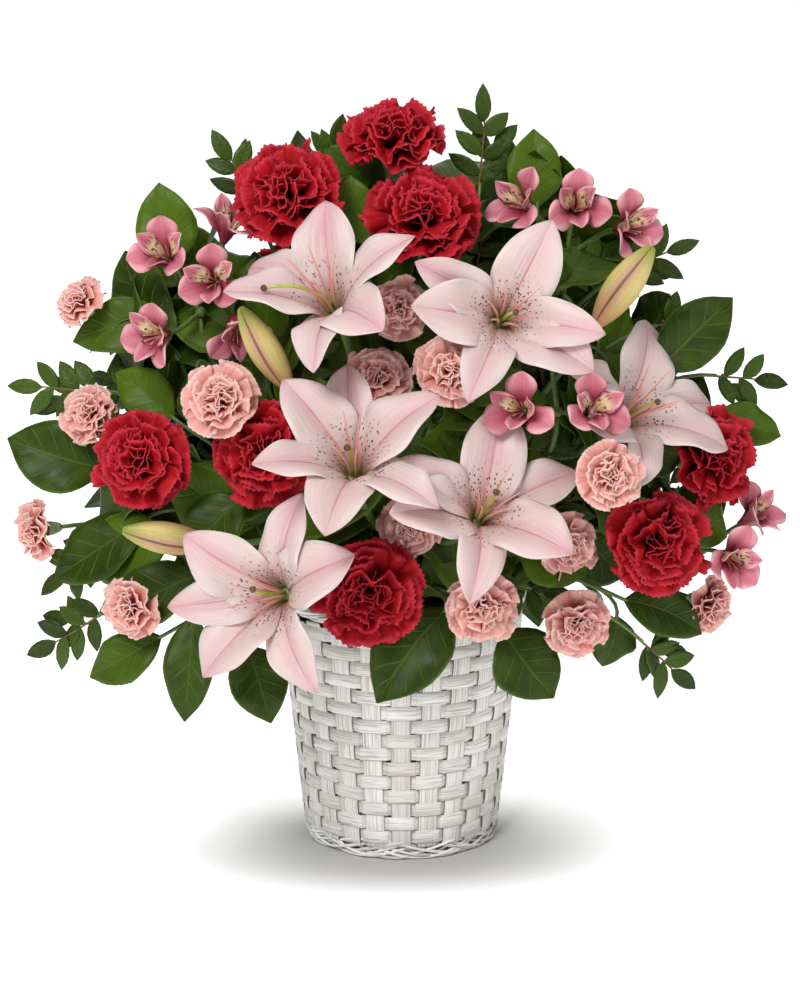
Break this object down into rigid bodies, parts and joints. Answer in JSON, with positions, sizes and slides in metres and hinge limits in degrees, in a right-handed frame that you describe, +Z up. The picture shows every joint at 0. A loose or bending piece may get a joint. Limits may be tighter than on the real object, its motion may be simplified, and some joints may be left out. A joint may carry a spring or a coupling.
{
  "type": "flower basket arrangement",
  "caption": "Woven round basket lined and packed with flower foam, holding a domed arrangement of lilies, carnations, alstroemerias and mixed greenery.",
  "frame": {"origin": "centre of the basket's flat base, on the surface that it stands on", "axes": "+Z up out of the basket, -Y towards the front of the arrangement, +X to the right seen from the front"},
  "size_m": [0.5875, 0.3914, 0.577],
  "materials": {
    "whitewashed_willow": "matt whitewash on willow strip",
    "liner_plastic": "thin dark green liner",
    "flower_foam": "wet green phenolic flower foam",
    "lily_petal": "waxy pale pink petal",
    "lily_bud_skin": "waxy yellow-green bud",
    "carnation_petal": "velvety cherry red petal",
    "spray_carnation_petal": "soft salmon pink petal",
    "alstroemeria_petal": "silky rose pink petal",
    "greenery": "glossy dark green leaves and green stems"
  },
  "bodies": {
    "root": {"lily_top_left": "lily_petal", "lily_top_right": "lily_petal", "lily_middle": "lily_petal", "lily_middle_right": "lily_petal", "lily_low_left": "lily_petal", "lily_right": "lily_petal", "alstroemeria_far_left": "alstroemeria_petal", "alstroemeria_left": "alstroemeria_petal", "alstroemeria_top_right": "alstroemeria_petal", "alstroemeria_middle": "alstroemeria_petal", "alstroemeria_right": "alstroemeria_petal", "alstroemeria_back": "alstroemeria_petal", "carnation_top": "carnation_petal", "carnation_top_left": "carnation_petal", "carnation_top_front": "carnation_petal", "carnation_left": "carnation_petal", "carnation_mid_left": "carnation_petal", "carnation_low": "carnation_petal", "carnation_low_right": "carnation_petal", "carnation_right": "carnation_petal", "carnation_back_left": "carnation_petal", "carnation_back_right": "carnation_petal", "spray_carnation_01": "spray_carnation_petal", "spray_carnation_02": "spray_carnation_petal", "spray_carnation_03": "spray_carnation_petal", "spray_carnation_04": "spray_carnation_petal", "spray_carnation_05": "spray_carnation_petal", "spray_carnation_06": "spray_carnation_petal", "spray_carnation_07": "spray_carnation_petal", "spray_carnation_08": "spray_carnation_petal", "spray_carnation_09": "spray_carnation_petal", "spray_carnation_10": "spray_carnation_petal", "spray_carnation_11": "spray_carnation_petal", "spray_carnation_12": "spray_carnation_petal", "spray_carnation_13": "spray_carnation_petal", "spray_carnation_14": "spray_carnation_petal", "spray_carnation_15": "spray_carnation_petal", "spray_carnation_16": "spray_carnation_petal", "spray_carnation_17": "spray_carnation_petal", "lily_bud_left": "lily_bud_skin", "lily_bud_right": "lily_bud_skin", "lily_bud_low": "lily_bud_skin", "greens_low_left": "greenery", "greens_low": "greenery", "greens_low_right": "greenery", "greens_middle": "greenery", "greens_left": "greenery", "greens_right": "greenery", "greens_top_left": "greenery", "greens_top": "greenery", "greens_top_right": "greenery", "greens_back_left": "greenery", "greens_back_right": "greenery", "greens_back": "greenery", "basket_wall": "whitewashed_willow", "basket_foot": "whitewashed_willow", "basket_rim": "whitewashed_willow", "liner": "liner_plastic", "foam": "flower_foam"}
  },
  "joints": []
}
